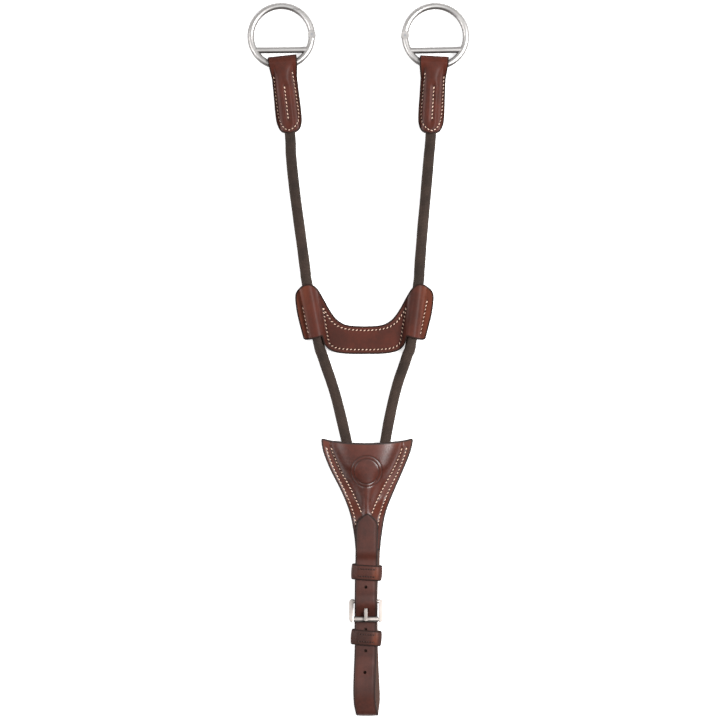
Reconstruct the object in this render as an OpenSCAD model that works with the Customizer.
// Running martingale fork: two braided cords carry a ring each, a bridge keeps the cords apart,
// and a crowned triangle joins them to a buckled strap that loops round the breastplate ring.
// It lies on its back: X to the right, Y towards the rings, Z up, origin on the triangle's flat back.

/* [Cords] */
// Diameter of the braided cord
cord_d = 10; // [8:0.5:12]
// Clearance between the cord and the leather round it
cord_fit = 0.3; // [0.2:0.05:0.6]
// Length of cord held inside each tab
cord_in_tab = 41; // [25:1:44]

/* [Leather] */
// Thickness of one leather layer of the triangle, bridge and tabs
leather_t = 2.3; // [1.8:0.1:3]
// Air left between two leather layers that lie on each other
layer_gap = 0.05; // [0.03:0.01:0.1]

/* [Tabs] */
// Width of the tab over the cord
tab_w = 23; // [20:0.5:28]
// Width of the tab where it folds round the ring
tab_fold_w = 26; // [21:0.5:27]
// Distance from the ring's pivot line to the tab's rounded end
tab_len = 63; // [50:0.5:75]
// Free room round the ring's wire inside the fold
fold_play = 2.3; // [2.2:0.1:3.5]

/* [Rings] */
// Inside diameter of the ring
ring_inner_d = 49; // [45:1:60]
// Diameter of the ring's wire
wire_d = 6; // [5:0.5:7.5]
// Diameter of the fixed crossbar
crossbar_d = 5.6; // [4.5:0.1:6]
// Distance of the crossbar below the ring's centre
crossbar_drop = 12.8; // [8:0.1:13]
// Angle of the gate's pin above the ring's waist
gate_pin_angle = 2; // [0:1:6]
// Angle that the gate spans round the ring
gate_span = 62; // [50:1:70]
// Diameter of the gate's rivet pin
gate_pin_d = 2; // [1.6:0.1:2.4]
// Running clearance between the gate and the ring
gate_gap = 0.3; // [0.2:0.05:0.4]

/* [Bridge] */
// Length of the bridge's sleeves along the cords
sleeve_len = 48; // [40:1:56]

/* [Strap] */
// Width of the billet strap
strap_w = 20; // [16:0.5:25]
// Thickness of the billet strap
strap_t = 3.2; // [2.6:0.1:4]
// Diameter of the punched holes
hole_d = 3; // [2.5:0.1:4]
// Distance from one hole to the next
hole_pitch = 19.2; // [16:0.1:22]
// Length of the pointed end
point_len = 11.5; // [10:0.5:16]
// Thickness of the buckle's chape leather
chape_t = 2; // [1.6:0.1:2.4]

/* [Buckle] */
// Room on both sides of the strap inside the buckle
buckle_play = 2.5; // [2:0.1:4]
// Width of each side bar
side_bar_w = 4; // [3:0.1:5]
// Thickness of each side bar
side_bar_t = 3.4; // [2.6:0.1:4]
// Distance from the heel bar to the front bar
bar_pitch = 16; // [15:0.5:19]
// Diameter of the heel bar
heel_bar_d = 3.5; // [3:0.1:4]
// Diameter of the front bar inside the roller
front_bar_d = 3.2; // [2.6:0.1:3.4]
// Outside diameter of the roller
roller_d = 5; // [4.6:0.1:6]
// Width of the tongue
tongue_w = 3; // [2.4:0.1:3.4]
// Thickness of the tongue
tongue_t = 2.2; // [1.8:0.1:2.6]

/* [Keepers] */
// Thickness of the keeper leather
keeper_wall = 2; // [1.5:0.1:2.3]
// Room on both sides of the strap inside a keeper
keeper_play = 3; // [2:0.1:4]
// Length of each keeper along the strap
keeper_len = 14.6; // [11:0.2:17]
// Slant of the upper keeper on the strap
keeper_slant = 3; // [0:0.5:4]

/* [Hidden] */
$fn = 48;
LEFT = 0;
RIGHT = 1;

// Colours of the finishes
leather_colour = "#5f3a31";
inner_colour = "#3c2a24";
cord_colour = "#463830";
metal_colour = "#c9ccd0";
steel_colour = "#9a9da1";

// Cord: height of its centre on the floor and between two leathers
cord_r = cord_d / 2;
bore_r = cord_r + cord_fit;
seat_z = leather_t + bore_r;
cord_sides = 12;

// Route of each cord, chosen by hand: x, y and how far it is lifted from floor (0) to seat (1)
cord_route_left = [
    [-14, 4, 1], [-18, 26, 1], [-20, 35, 1], [-23, 48, 0.7], [-27, 64, 0.25], [-31.5, 79, 0.1],
    [-36, 92, 0.35], [-40, 104, 0.85], [-43, 114, 1], [-53.5, 168, 1], [-55, 179, 0.9],
    [-57.5, 198, 0.4], [-60.5, 220, 0.05], [-63.5, 242, 0], [-66, 263, 0.2], [-68, 284, 0.75],
    [-68.6, 300, 1], [-72.6, 344, 1]
];
cord_route_right = [
    [13, 4, 1], [17, 26, 1], [18.5, 35, 1], [21, 48, 0.7], [24.5, 64, 0.25], [28.5, 79, 0.1],
    [33, 92, 0.35], [37, 104, 0.85], [40, 114, 1], [46.8, 168, 1], [47.6, 179, 0.9],
    [49, 198, 0.4], [50.8, 220, 0.05], [52.8, 242, 0], [54.6, 263, 0.2], [56.4, 284, 0.75],
    [57.8, 300, 1], [60, 344, 1]
];
cord_routes = [cord_route_left, cord_route_right];
mouth_point = 1;
sleeve_foot = 8;
sleeve_head = 9;

// Ring: place of each pivot line in the tab's fold, and how the tab leans
ring_r = (ring_inner_d + wire_d) / 2;
wire_r = wire_d / 2;
fold_r = wire_r + fold_play;
fold_z = leather_t + fold_r;
pivot_place = [[-74.4, 365.3], [61, 365.1]];
tab_lean = [5.2, -2.8];
// How far each ring has slid round in its fold, which levels its crossbar
ring_slide = [-4.6, 3.8];
gate_side = [1, -1];
wire_sag = 1.8;
ring_offset = ring_r - wire_sag;
ring_tilt = asin((fold_z - wire_r) / (ring_offset + ring_r));

// Gate: knuckle, lapped nose, heel flat and the spring behind it
knuckle_r = wire_r + 0.6;
slot_r = knuckle_r + gate_gap;
tang_t = 2;
tang_r = knuckle_r - 0.4;
heel_flat = tang_r - 0.6;
nose_reach = 2 * ring_r * sin(gate_span / 2);
nose_lap = 3;
plunger_d = 2;
plunger_len = 3;
plunger_gap = 0.4;
plunger_start = heel_flat + plunger_gap;
spring_bore_d = plunger_d + 0.4;
spring_bore_end = 11.5;
spring_bore_angle = gate_pin_angle - 10;
spring_wire_d = 0.35;
spring_turns = 6;
spring_steps = 14;

// Strap: heights of its centre line, from the floor up
run_gap = 0.1;
back_run_z = max(keeper_wall + 0.2, leather_t + layer_gap) + strap_t / 2;
low_run_z = back_run_z + strap_t + run_gap;
chape_low_z = back_run_z + strap_t / 2 + run_gap + chape_t / 2;
chape_top_z = chape_low_z + chape_t + run_gap;
chape_run_z = chape_top_z + chape_t / 2 + run_gap + strap_t / 2;
wrap_gap = 0.15;
heel_z = chape_low_z + chape_t / 2 + wrap_gap + heel_bar_d / 2;
over_heel_z = heel_z + heel_bar_d / 2 + wrap_gap + chape_t + 1.5 * run_gap + strap_t / 2;
tail_under_z = chape_top_z + chape_t / 2 + layer_gap;
tail_run_z = tail_under_z + leather_t + run_gap + strap_t / 2;

// Strap: places along Y
tip_y = -38.7;
tail_y = -72;
chape_start_y = -48;
keeper_upper_y = -92;
heel_y = -118.2;
front_bar_y = heel_y - bar_pitch;
keeper_lower_y = -151;
loop_neck_y = -173;
loop_end_y = -221.5;
loop_height = 14.2;
hole_y = [for (i = [0 : 4]) -105.8 - i * hole_pitch];

// Buckle: tilt of the frame and of the tongue that rests on the roller
roller_r = roller_d / 2;
strap_drop_angle = 36;
roller_z = low_run_z + (strap_t / 2 + roller_r + 0.25) / cos(strap_drop_angle);
frame_tilt = asin((roller_z - heel_z) / bar_pitch);
tongue_tilt = frame_tilt + asin((roller_r + 0.1 + tongue_t / 2) / bar_pitch);
frame_inner_w = strap_w + buckle_play;
frame_outer_w = frame_inner_w + 2 * side_bar_w;
tongue_len = bar_pitch + 2.8;
tongue_lift = 10;
frame_corner_r = 3.2;

// Keepers
keeper_inner_w = strap_w + keeper_play;
keeper_top_gap = 0.3;

// Triangle: half outline from the tail to the mouth, as half width and y
triangle_half = [[11, -72], [12, -56], [15, -39], [22.3, -20], [32, 0], [38, 16], [40, 27.5]];
mouth_hollow = 3.4;
hollow_reach = 100;
crown_start_y = -46;
edge_end_y = -22;
crown_end_y = 4;
triangle_rows = smooth_run(triangle_half, 4);
columns = 20;
shoulder_start = 0.46;
shoulder_end = 0.94;
filler_reach = 0.86;
filler_gap = 0.3;
filler_layers = 5;
filler_end_y = 23;
socket_overrun = 8;

// Bridge: half outline, mirrored about bridge_x
bridge_x = -1.8;
bridge_top = [
    [0, 129.3], [12, 129.8], [20, 132], [27, 136.5], [33, 145], [39, 155.5], [44.5, 164],
    [49.5, 166.5], [55.5, 164.5], [60.5, 160], [61.8, 155], [60, 142], [57.3, 130], [54.4, 118]
];
bridge_foot = [[53, 117], [45, 118], [38.2, 120]];
bridge_low = [[38, 119], [35.8, 112.5], [31, 107.8], [23, 105.3], [12, 104.4], [0, 104.4]];

// Tab: half outline from the fold to the rounded end, as half width and y
tab_half = [
    [tab_fold_w / 2, leather_t + fold_r + 0.4], [tab_fold_w / 2, 0], [tab_w / 2 - 0.6, -12],
    [tab_w / 2 - 0.2, -25], [tab_w / 2, 14 - tab_len * 0.9], [tab_w / 2 - 0.5, 10 - tab_len],
    [tab_w / 2 - 3.8, 2.7 - tab_len], [0, -tab_len]
];

// ---- Helpers -------------------------------------------------------------------------------

function clamp_item(list, i) = list[max(0, min(len(list) - 1, i))];

function through(a, b, c, d, t) =
    0.5 * (2 * b + (c - a) * t + (2 * a - 5 * b + 4 * c - d) * t * t
    + (3 * b - a - 3 * c + d) * t * t * t);

// Smooth open curve through every point
function smooth_run(points, steps) = concat(
    [for (i = [0 : len(points) - 2], k = [0 : steps - 1])
        through(clamp_item(points, i - 1), points[i], points[i + 1], clamp_item(points, i + 2), k / steps)],
    [points[len(points) - 1]]
);

function unit(v) = v / norm(v);

function bend(a, corner, b, t) = (1 - t) * (1 - t) * a + 2 * t * (1 - t) * corner + t * t * b;

// Straight runs joined by rounded corners, which never leave the space inside the corner
function rounded_run(points, cut, steps) = concat(
    [points[0]],
    [for (i = [1 : len(points) - 2])
        let (
            before = points[i - 1] - points[i],
            after = points[i + 1] - points[i],
            c = min(cut, 0.45 * norm(before), 0.45 * norm(after))
        )
        for (k = [0 : steps])
            bend(points[i] + c * unit(before), points[i], points[i] + c * unit(after), k / steps)],
    [points[len(points) - 1]]
);

function heading(path, i) = unit(clamp_item(path, i + 1) - clamp_item(path, i - 1));

function beside(path, d) = [
    for (i = [0 : len(path) - 1])
        let (h = heading(path, i))
        path[i] + d * [-h[1], h[0]]
];

function reversed(list) = [for (i = [len(list) - 1 : -1 : 0]) list[i]];

// Outline of a band of even thickness along a path
function band(path, t) = concat(beside(path, t / 2), reversed(beside(path, -t / 2)));

function mirrored(points) = [for (p = points) [-p[0], p[1]]];

function ramp(low, high, v) =
    let (t = max(0, min(1, (v - low) / (high - low))))
    t * t * (3 - 2 * t);

// The share of the way along a ramp at which it has risen to v
function ramp_back(v) = 0.5 - sin(asin(1 - 2 * v) / 3);

// A band drawn in the Y-Z plane, as wide as w along X
module ribbon(path, t, w) {
    rotate([90, 0, 90])
        linear_extrude(height = w, center = true)
            polygon(band(path, t));
}

module along_x(r, len) {
    rotate([0, 90, 0])
        cylinder(r = r, h = len, center = true);
}

module rounded_plate(w, l, r) {
    square([w - 2 * r, l], center = true);
    square([w, l - 2 * r], center = true);
    for (x = [-1, 1], y = [-1, 1])
        translate([x * (w / 2 - r), y * (l / 2 - r)])
            circle(r = r);
}

// Closed skin over a grid of rows: every row has the same number of points, top then bottom
module closed_grid(top, bottom) {
    rows = len(top);
    cols = len(top[0]);
    count = rows * cols;
    points = concat([for (r = top) for (p = r) p], [for (r = bottom) for (p = r) p]);
    quads = concat(
        [for (i = [0 : rows - 2], j = [0 : cols - 2])
            [i * cols + j, (i + 1) * cols + j, (i + 1) * cols + j + 1, i * cols + j + 1]],
        [for (i = [0 : rows - 2], j = [0 : cols - 2])
            [count + i * cols + j, count + i * cols + j + 1,
            count + (i + 1) * cols + j + 1, count + (i + 1) * cols + j]],
        [for (i = [0 : rows - 2])
            [i * cols, count + i * cols, count + (i + 1) * cols, (i + 1) * cols]],
        [for (i = [0 : rows - 2])
            [(i + 1) * cols + cols - 1, count + (i + 1) * cols + cols - 1,
            count + i * cols + cols - 1, i * cols + cols - 1]],
        [for (j = [0 : cols - 2]) [j, j + 1, count + j + 1, count + j]],
        [for (j = [0 : cols - 2])
            [(rows - 1) * cols + j + 1, (rows - 1) * cols + j,
            count + (rows - 1) * cols + j, count + (rows - 1) * cols + j + 1]]
    );
    triangles = [for (q = quads) each [[q[0], q[1], q[2]], [q[0], q[2], q[3]]]];
    polyhedron(points = points, faces = [for (t = triangles) reversed(t)], convexity = 6);
}

// Tube swept along a path of 3-D points, rings square to the path
module swept_tube(path, r, sides) {
    rings = [
        for (i = [0 : len(path) - 1])
            let (
                h = heading(path, i),
                across = unit(cross([0, 0, 1], h)),
                up = cross(h, across)
            )
            for (k = [0 : sides - 1])
                path[i] + r * (cos(360 * k / sides) * across + sin(360 * k / sides) * up)
    ];
    last = (len(path) - 1) * sides;
    faces = concat(
        [[for (k = [0 : sides - 1]) k]],
        [[for (k = [sides - 1 : -1 : 0]) last + k]],
        [for (i = [0 : len(path) - 2], k = [0 : sides - 1])
            [i * sides + k, (i + 1) * sides + k, (i + 1) * sides + (k + 1) % sides]],
        [for (i = [0 : len(path) - 2], k = [0 : sides - 1])
            [i * sides + k, (i + 1) * sides + (k + 1) % sides, i * sides + (k + 1) % sides]]
    );
    polyhedron(points = rings, faces = faces, convexity = 6);
}

// ---- Triangle ------------------------------------------------------------------------------

// Height of the front leather's underside at its edges and along its crown
function edge_z(y) =
    tail_under_z + (leather_t + layer_gap - tail_under_z) * ramp(crown_start_y, edge_end_y, y);
function crown_z(y) =
    tail_under_z + (seat_z + bore_r + layer_gap - tail_under_z) * ramp(crown_start_y, crown_end_y, y);

// The same at a share u of the half width
function under_z(u, y) =
    edge_z(y) + (crown_z(y) - edge_z(y)) * (1 - ramp(shoulder_start, shoulder_end, abs(u)));

// Share of the half width up to which a filler layer with its top at z stays under the front
function layer_reach(y, z) =
    let (share = (z + filler_gap - edge_z(y)) / (crown_z(y) - edge_z(y)))
    share <= 0 ? filler_reach
    : share >= 1 ? 0
    : min(filler_reach, shoulder_start + (shoulder_end - shoulder_start) * ramp_back(1 - share));

function triangle_point(u, row, lift) =
    let (
        share = (row[1] - tail_y) / hollow_reach,
        y = row[1] - mouth_hollow * (1 - u * u) * pow(share, 4)
    )
    [u * row[0], y, lift + under_z(u, y)];

function triangle_sheet(rows, reach, lift) = [
    for (row = rows)
        [for (j = [0 : columns]) triangle_point(reach * (2 * j / columns - 1), row, lift)]
];

module triangle_back() {
    sheet = triangle_sheet(triangle_rows, 1, 0);
    rows = len(sheet);
    outline = concat(
        [for (i = [0 : rows - 1]) [sheet[i][columns][0], sheet[i][columns][1]]],
        [for (j = [columns - 1 : -1 : 1]) [sheet[rows - 1][j][0], sheet[rows - 1][j][1]]],
        [for (i = [rows - 1 : -1 : 0]) [sheet[i][0][0], sheet[i][0][1]]]
    );
    color(inner_colour)
        linear_extrude(height = leather_t)
            polygon(outline);
}

// A groove for the end of a cord, open at the top so that no thin skin is left over it
module cord_socket(side) {
    route = cord_routes[side];
    foot = route[0];
    mouth = route[mouth_point];
    run = [mouth[0] - foot[0], mouth[1] - foot[1]];
    length = norm(run) + socket_overrun;
    translate([foot[0], foot[1], seat_z])
        rotate([0, 0, atan2(run[1], run[0])])
            translate([-cord_fit, 0, 0]) {
                rotate([0, 90, 0])
                    cylinder(r = bore_r, h = length, $fn = 24);
                translate([0, -bore_r, 0])
                    cube([length, 2 * bore_r, 2 * bore_r]);
            }
}

module filler_layer(bottom, top) {
    rows = [
        for (row = triangle_rows)
            if (row[1] > chape_start_y + 4 && row[1] < filler_end_y && layer_reach(row[1], top) > 0)
                row
    ];
    edge = [for (row = rows) [layer_reach(row[1], top) * row[0], row[1]]];
    translate([0, 0, bottom])
        linear_extrude(height = top - bottom)
            polygon(concat(edge, mirrored(reversed(edge))));
}

// Skived layers, each a little smaller than the one below it
module triangle_filler() {
    floor_z = leather_t + layer_gap;
    layer_t = (crown_z(crown_end_y) - 1.2 * filler_gap - floor_z) / filler_layers;
    color(inner_colour)
        difference() {
            for (i = [1 : filler_layers])
                filler_layer(floor_z, floor_z + i * layer_t);
            for (side = [LEFT, RIGHT])
                cord_socket(side);
        }
}

module triangle_front() {
    color(leather_colour)
        closed_grid(
            triangle_sheet(triangle_rows, 1, leather_t),
            triangle_sheet(triangle_rows, 1, 0)
        );
}

// ---- Cords ---------------------------------------------------------------------------------

function cord_points(side) = [
    for (p = cord_routes[side]) [p[0], p[1], cord_r + p[2] * (seat_z - cord_r)]
];

module cord(side) {
    color(cord_colour)
        swept_tube(cord_points(side), cord_r, cord_sides);
}

// ---- Bridge --------------------------------------------------------------------------------

module bridge_outline() {
    half = concat(smooth_run(bridge_top, 4), smooth_run(bridge_foot, 2), smooth_run(bridge_low, 4));
    count = len(half);
    whole = concat(half, mirrored([for (i = [count - 2 : -1 : 1]) half[i]]));
    translate([bridge_x, 0])
        polygon(whole);
}

// A round bar along the cord where it runs through the bridge
module sleeve_bar(side, r, len) {
    foot = cord_routes[side][sleeve_foot];
    head = cord_routes[side][sleeve_head];
    middle = (foot + head) / 2;
    translate([middle[0], middle[1], seat_z])
        rotate([0, 0, atan2(head[1] - foot[1], head[0] - foot[0])])
            along_x(r, len);
}

module bridge_back() {
    color(inner_colour)
        linear_extrude(height = leather_t)
            bridge_outline();
}

module bridge_front() {
    color(leather_colour)
        difference() {
            union() {
                translate([0, 0, leather_t])
                    linear_extrude(height = leather_t)
                        bridge_outline();
                for (side = [LEFT, RIGHT])
                    sleeve_bar(side, bore_r + leather_t, sleeve_len);
            }
            for (side = [LEFT, RIGHT])
                sleeve_bar(side, bore_r, sleeve_len + 20);
            translate([0, 0, leather_t - 50])
                cube([300, 600, 100], center = true);
        }
}

// ---- Tabs and rings ------------------------------------------------------------------------

// Frame of a tab: origin on the ring's pivot line, +Y towards the ring
module at_pivot(side) {
    translate([pivot_place[side][0], pivot_place[side][1], fold_z])
        rotate([0, 0, tab_lean[side]])
            children();
}

// Frame of a ring: origin at its centre, +Z square to it, gate on the +X side
module at_ring(side) {
    at_pivot(side)
        rotate([-ring_tilt, 0, 0])
            translate([0, ring_offset, 0])
                rotate([0, 0, ring_slide[side]])
                    scale([gate_side[side], 1, 1])
                        children();
}

module tab_outline() {
    half = concat(
        [tab_half[0], tab_half[1]],
        smooth_run([for (i = [2 : len(tab_half) - 1]) tab_half[i]], 4)
    );
    polygon(concat(half, mirrored(reversed(half))));
}

module tab(side) {
    ridge_r = bore_r + leather_t;
    ridge_start = cord_in_tab - tab_len - 4;
    cord_up = seat_z - fold_z;
    neck_top = 4.4;
    at_pivot(side)
        color(leather_colour)
            difference() {
                intersection() {
                    translate([0, 0, -fold_z])
                        linear_extrude(height = 40)
                            tab_outline();
                    union() {
                        translate([0, -tab_len / 2, leather_t - fold_z])
                            cube([60, tab_len, 2 * leather_t], center = true);
                        translate([0, ridge_start / 2, (neck_top - fold_z) / 2])
                            cube([60, -ridge_start, fold_z + neck_top], center = true);
                        along_x(leather_t + fold_r, 60);
                        translate([0, (cord_in_tab - 2 * tab_len - 5) / 2 + 3, cord_up])
                            rotate([90, 0, 0])
                                cylinder(r = ridge_r, h = cord_in_tab + 12, center = true);
                    }
                }
                along_x(fold_r, 80);
                translate([0, -tab_len - 1, cord_up])
                    rotate([-90, 0, 0])
                        cylinder(r = bore_r, h = cord_in_tab + 2.5);
            }
}

module wire_arc(from, to, r) {
    rotate([0, 0, from])
        rotate_extrude(angle = to - from, $fn = 96)
            translate([ring_r, 0])
                circle(r = r);
}

module at_gate_pin() {
    rotate([0, 0, gate_pin_angle])
        translate([ring_r, 0, 0])
            children();
}

// Axis of the spring's bore, which starts at the pin and runs down inside the wire
module along_spring_bore() {
    at_gate_pin()
        rotate([0, 0, spring_bore_angle - gate_pin_angle])
            rotate([90, 0, 0])
                children();
}

module ring_body() {
    gate_end = gate_pin_angle + gate_span;
    lip_start = gate_end - 12;
    difference() {
        union() {
            wire_arc(lip_start, 360 + gate_pin_angle, wire_r);
            at_gate_pin()
                cylinder(r = knuckle_r, h = wire_d, center = true);
            translate([0, -crossbar_drop, 0])
                along_x(crossbar_d / 2, 2 * sqrt(pow(ring_r, 2) - pow(crossbar_drop, 2)));
        }
        at_gate_pin() {
            cylinder(r = slot_r, h = tang_t + 0.4, center = true);
            cylinder(d = gate_pin_d, h = 2 * wire_d, center = true);
        }
        intersection() {
            at_gate_pin()
                cylinder(r = nose_reach - nose_lap + gate_gap, h = 20, center = true, $fn = 96);
            rotate([0, 0, gate_end])
                translate([ring_r, 0, 0])
                    cube([20, 22, 20], center = true);
        }
        intersection() {
            at_gate_pin()
                cylinder(r = nose_reach + gate_gap, h = 20, center = true, $fn = 96);
            cylinder(r = ring_r + gate_gap / 2, h = 20, center = true, $fn = 96);
            rotate([0, 0, gate_end])
                translate([ring_r, 0, 0])
                    cube([20, 22, 20], center = true);
        }
        along_spring_bore()
            translate([0, 0, slot_r - 1])
                cylinder(d = spring_bore_d, h = spring_bore_end - slot_r + 1, $fn = 24);
    }
}

module gate_body() {
    gate_end = gate_pin_angle + gate_span;
    difference() {
        union() {
            difference() {
                wire_arc(gate_pin_angle, gate_end + 3, wire_r);
                at_gate_pin()
                    cylinder(r = slot_r, h = 20, center = true);
            }
            at_gate_pin()
                cylinder(r = tang_r, h = tang_t, center = true);
            intersection() {
                wire_arc(gate_pin_angle, gate_pin_angle + 16, wire_r - 0.2);
                at_gate_pin()
                    cylinder(r = slot_r + 2, h = tang_t, center = true);
            }
        }
        at_gate_pin()
            cylinder(d = gate_pin_d + 0.2, h = 20, center = true, $fn = 24);
        along_spring_bore()
            translate([0, 0, heel_flat + 3])
                cube([10, 10, 6], center = true);
        difference() {
            rotate([0, 0, gate_end])
                translate([ring_r, 4, 0])
                    cube([20, 24, 20], center = true);
            at_gate_pin()
                cylinder(r = nose_reach - nose_lap, h = 24, center = true, $fn = 96);
            intersection() {
                at_gate_pin()
                    cylinder(r = nose_reach, h = 24, center = true, $fn = 96);
                cylinder(r = ring_r - gate_gap / 2, h = 24, center = true, $fn = 96);
            }
        }
    }
}

module ring_frame(side) {
    at_ring(side)
        color(metal_colour)
            ring_body();
}

module gate(side) {
    at_ring(side)
        color(metal_colour)
            gate_body();
}

module gate_pin(side) {
    at_ring(side)
        at_gate_pin()
            color(steel_colour)
                cylinder(d = gate_pin_d, h = wire_d, center = true, $fn = 24);
}

module gate_plunger(side) {
    at_ring(side)
        along_spring_bore()
            translate([0, 0, plunger_start])
                color(steel_colour)
                    cylinder(d = plunger_d, h = plunger_len, $fn = 24);
}

module gate_spring(side) {
    start = plunger_start + plunger_len + spring_wire_d / 2 + 0.05;
    finish = spring_bore_end - spring_wire_d / 2 - 0.05;
    coil_r = (plunger_d - spring_wire_d) / 2;
    steps = spring_turns * spring_steps;
    path = [
        for (i = [0 : steps])
            [coil_r * cos(360 * i / spring_steps), coil_r * sin(360 * i / spring_steps),
            start + (finish - start) * i / steps]
    ];
    at_ring(side)
        along_spring_bore()
            color(steel_colour)
                swept_tube(path, spring_wire_d / 2, 6);
}

// ---- Strap, chape and buckle ---------------------------------------------------------------

loop_r = loop_height / 2 - strap_t / 2;
loop_bottom_z = strap_t / 2 + 0.1;
loop_top_z = loop_height - strap_t / 2;

strap_path = rounded_run(
    concat(
        [
            [tip_y, tail_run_z + 0.3], [tip_y - 11, tail_run_z], [tail_y - 2.5, tail_run_z],
            [tail_y - 7.5, chape_run_z], [heel_y + 14, chape_run_z], [heel_y + 3.5, over_heel_z],
            [heel_y - 3, over_heel_z], [front_bar_y + 2.4, low_run_z], [loop_neck_y, low_run_z],
            [loop_neck_y - 20, loop_top_z - 1], [loop_end_y + 18, loop_top_z],
            [loop_end_y + 9, loop_top_z - 0.5]
        ],
        [for (a = [50 : -20 : -50])
            [loop_end_y + strap_t / 2 + loop_r * (1 - cos(a)),
            loop_bottom_z + (loop_top_z - loop_bottom_z) * (1 + sin(a)) / 2]],
        [
            [loop_end_y + 10, loop_bottom_z], [loop_neck_y - 8, loop_bottom_z],
            [loop_neck_y + 8, back_run_z], [chape_start_y, back_run_z]
        ]
    ),
    6, 5
);

module pointed_plan() {
    half = strap_w / 2;
    arc_r = (half * half + point_len * point_len) / (2 * half);
    base_y = tip_y - point_len;
    intersection() {
        translate([half - arc_r, base_y])
            circle(r = arc_r, $fn = 96);
        translate([arc_r - half, base_y])
            circle(r = arc_r, $fn = 96);
    }
}

module tongue_slot() {
    reach = bar_pitch - 2;
    room = tongue_t / 2 + 0.35;
    rest_y = cos(tongue_tilt);
    rest_z = sin(tongue_tilt);
    up_y = cos(tongue_tilt + tongue_lift);
    up_z = sin(tongue_tilt + tongue_lift);
    translate([0, heel_y, heel_z])
        rotate([90, 0, 90])
            linear_extrude(height = tongue_w + 0.8, center = true)
                polygon([
                    [-room * rest_z - 2 * rest_y, 2 * rest_z - room * rest_y],
                    [-room * rest_z - reach * rest_y, reach * rest_z - room * rest_y],
                    [room * up_z - reach * up_y, reach * up_z + room * up_y],
                    [room * up_z - 2 * up_y, 2 * up_z + room * up_y]
                ]);
}

module billet_strap() {
    base_y = tip_y - point_len;
    color(leather_colour)
        difference() {
            ribbon(strap_path, strap_t, strap_w);
            difference() {
                translate([0, base_y + 20, tail_run_z + 10])
                    cube([strap_w + 4, 40, 20 + strap_t + 0.1], center = true);
                linear_extrude(height = 60)
                    pointed_plan();
            }
            for (i = [0 : len(hole_y) - 1])
                if (i != 1)
                    translate([0, hole_y[i], back_run_z + strap_t / 2 + run_gap / 2])
                        cylinder(d = hole_d, h = 20, $fn = 24);
            tongue_slot();
        }
}

module buckle_chape() {
    wrap_r = heel_bar_d / 2 + wrap_gap + chape_t / 2;
    path = concat(
        [[chape_start_y, chape_low_z]],
        [for (a = [-90 : 15 : 75])
            [heel_y - wrap_r * cos(a), heel_z + wrap_r * sin(a)]],
        rounded_run([
            [heel_y - 0.2, heel_z + wrap_r], [heel_y + 1.5, heel_z + wrap_r],
            [heel_y + 12, chape_top_z], [chape_start_y, chape_top_z]
        ], 2, 4)
    );
    color(inner_colour)
        difference() {
            ribbon(path, chape_t, strap_w - 1);
            translate([0, heel_y + 0.5, heel_z])
                cube([tongue_w + 1.2, 2 * wrap_r + 6, 4 * wrap_r], center = true);
        }
}

module at_buckle() {
    translate([0, heel_y, heel_z])
        rotate([-frame_tilt, 0, 0])
            children();
}

module buckle_frame() {
    top = heel_bar_d / 2 + 0.3;
    foot = bar_pitch + 2.6;
    color(metal_colour)
        at_buckle() {
            difference() {
                translate([0, (top - foot) / 2, -side_bar_t / 2])
                    linear_extrude(height = side_bar_t)
                        rounded_plate(frame_outer_w, top + foot, frame_corner_r);
                cube([frame_inner_w, 60, 20], center = true);
            }
            along_x(heel_bar_d / 2, frame_inner_w + 2);
            translate([0, -bar_pitch, 0])
                along_x(front_bar_d / 2, frame_inner_w + 2);
        }
}

module buckle_roller() {
    color(metal_colour)
        at_buckle()
            translate([0, -bar_pitch, 0])
                difference() {
                    along_x(roller_r, frame_inner_w - 0.8);
                    along_x(front_bar_d / 2 + 0.2, frame_inner_w);
                }
}

module buckle_tongue() {
    eye_r = heel_bar_d / 2 + 0.2;
    color(metal_colour)
        translate([0, heel_y, heel_z])
            rotate([-tongue_tilt, 0, 0])
                difference() {
                    union() {
                        along_x(eye_r + 1.3, tongue_w);
                        translate([0, -tongue_len / 2, 0])
                            cube([tongue_w, tongue_len, tongue_t], center = true);
                        translate([0, -tongue_len, 0])
                            cylinder(d = tongue_w, h = tongue_t, center = true);
                    }
                    along_x(eye_r, 2 * tongue_w);
                }
}

module keeper(top_z, slant) {
    inner_h = top_z + keeper_top_gap - keeper_wall;
    outer_w = keeper_inner_w + 2 * keeper_wall;
    rotate([0, 0, slant])
        translate([0, 0, keeper_wall + inner_h / 2])
            rotate([90, 0, 0])
                linear_extrude(height = keeper_len, center = true)
                    difference() {
                        rounded_plate(outer_w, inner_h + 2 * keeper_wall, 2.4);
                        rounded_plate(keeper_inner_w, inner_h, 0.6);
                    }
}

module keeper_upper() {
    color(leather_colour)
        translate([0, keeper_upper_y, 0])
            keeper(chape_run_z + strap_t / 2, -keeper_slant);
}

module keeper_lower() {
    color(leather_colour)
        translate([0, keeper_lower_y, 0])
            keeper(low_run_z + strap_t / 2, 0);
}

triangle_back();
triangle_filler();
triangle_front();
cord(LEFT);  // cord_left
cord(RIGHT);  // cord_right
bridge_back();
bridge_front();
tab(LEFT);  // tab_left
tab(RIGHT);  // tab_right
ring_frame(LEFT);  // ring_frame_left
ring_frame(RIGHT);  // ring_frame_right
gate(LEFT);  // gate_left
gate(RIGHT);  // gate_right
gate_pin(LEFT);  // gate_pin_left
gate_pin(RIGHT);  // gate_pin_right
gate_plunger(LEFT);  // gate_plunger_left
gate_plunger(RIGHT);  // gate_plunger_right
gate_spring(LEFT);  // gate_spring_left
gate_spring(RIGHT);  // gate_spring_right
billet_strap();
buckle_chape();
buckle_frame();
buckle_tongue();
buckle_roller();
keeper_upper();
keeper_lower();
